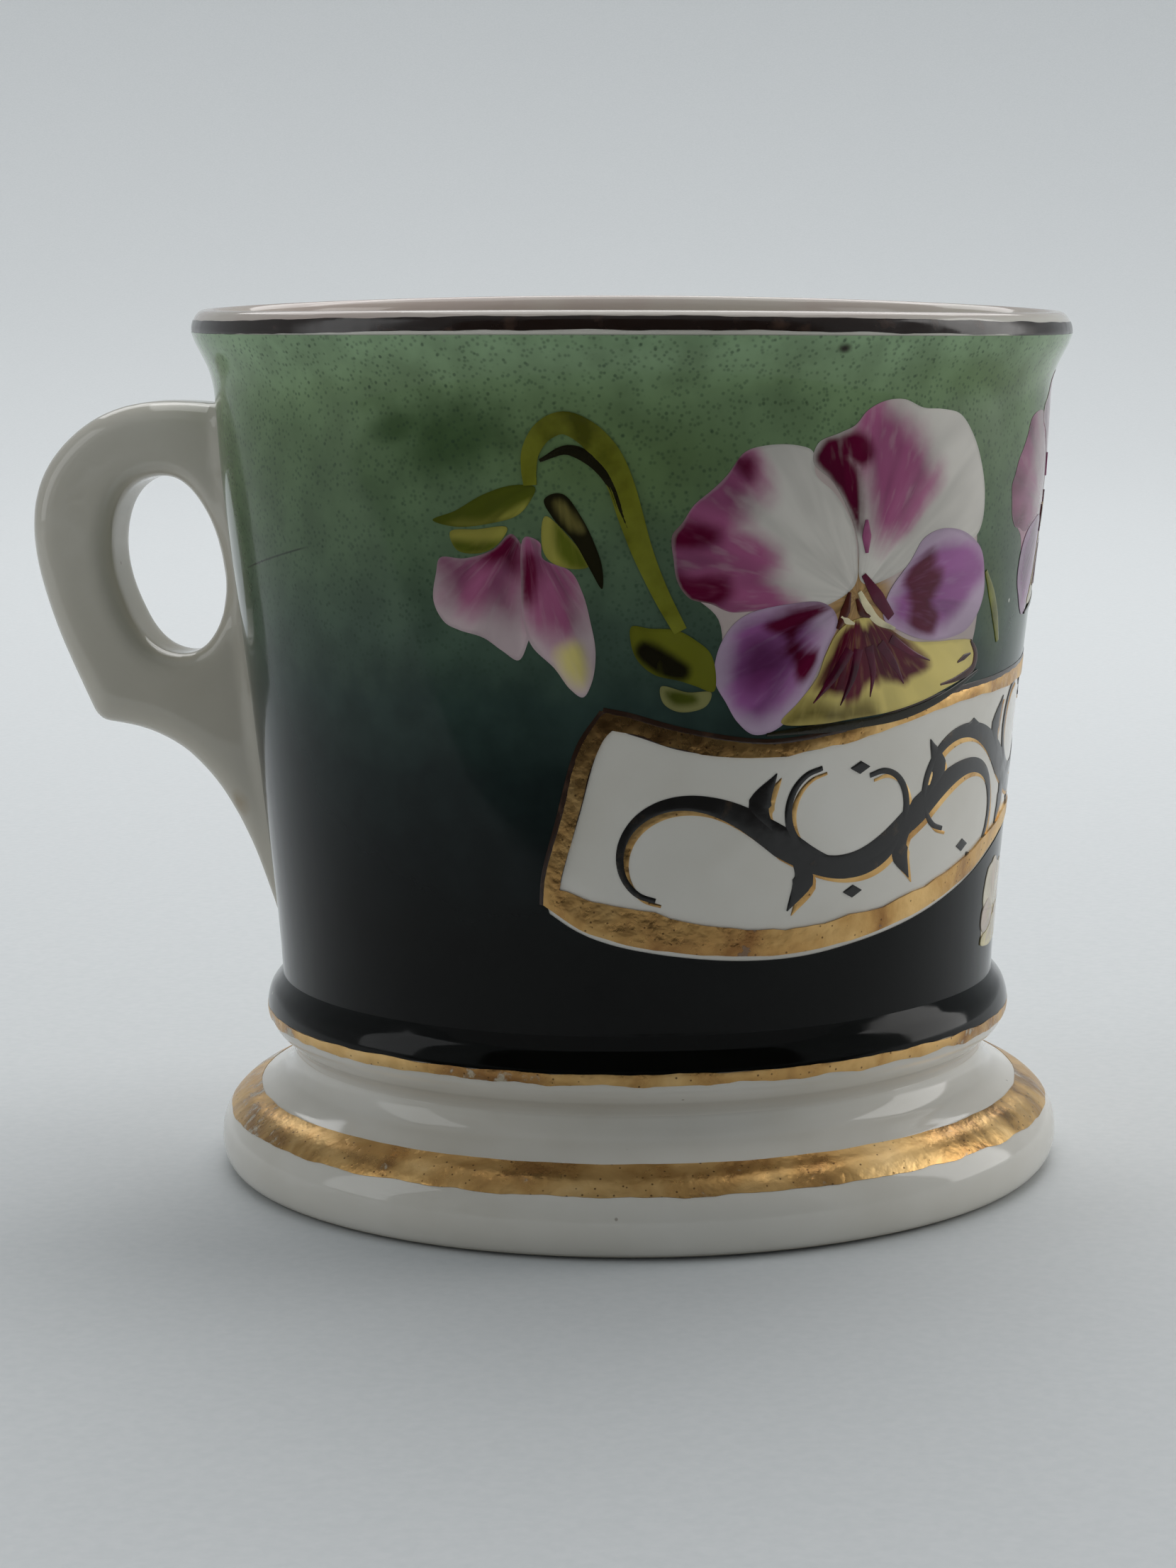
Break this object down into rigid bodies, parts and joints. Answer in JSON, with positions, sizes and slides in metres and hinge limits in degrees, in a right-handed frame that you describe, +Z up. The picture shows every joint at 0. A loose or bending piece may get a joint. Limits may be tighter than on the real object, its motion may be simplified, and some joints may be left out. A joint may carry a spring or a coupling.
{
  "type": "shaving mug",
  "caption": "Pedestal-footed porcelain shaving mug with a flared lip, a looped side handle, a painted ground colour, a blank-name banner and gilding.",
  "frame": {"origin": "on the mug's axis, in the plane that the foot stands on", "axes": "+Z up along the mug's axis, handle towards -X, middle of the banner towards +X"},
  "size_m": [0.1117, 0.092, 0.0905],
  "materials": {
    "porcelain_glaze": "glossy white glaze",
    "ground_enamel": "glossy fired ground colour, sage green above to near black below",
    "gilding": "worn burnished gold",
    "rim_enamel": "dark brown line, worn on its upper edge",
    "black_enamel": "glossy black with gold edging",
    "flower_enamel": "glossy overglaze enamel: pink, mauve, crimson, cream, yellow and olive"
  },
  "bodies": {
    "root": {"cup_body": "porcelain_glaze", "pedestal_foot": "porcelain_glaze", "loop_handle": "porcelain_glaze", "ground_colour_coat": "ground_enamel", "banner_gilt_border": "gilding", "rim_line": "rim_enamel", "bead_gilt_line": "gilding", "foot_gilt_band": "gilding", "banner_ornament": "black_enamel", "open_pansy": "flower_enamel", "pansy_bud": "flower_enamel", "centre_pansy": "flower_enamel", "lower_spray": "flower_enamel"}
  },
  "joints": []
}
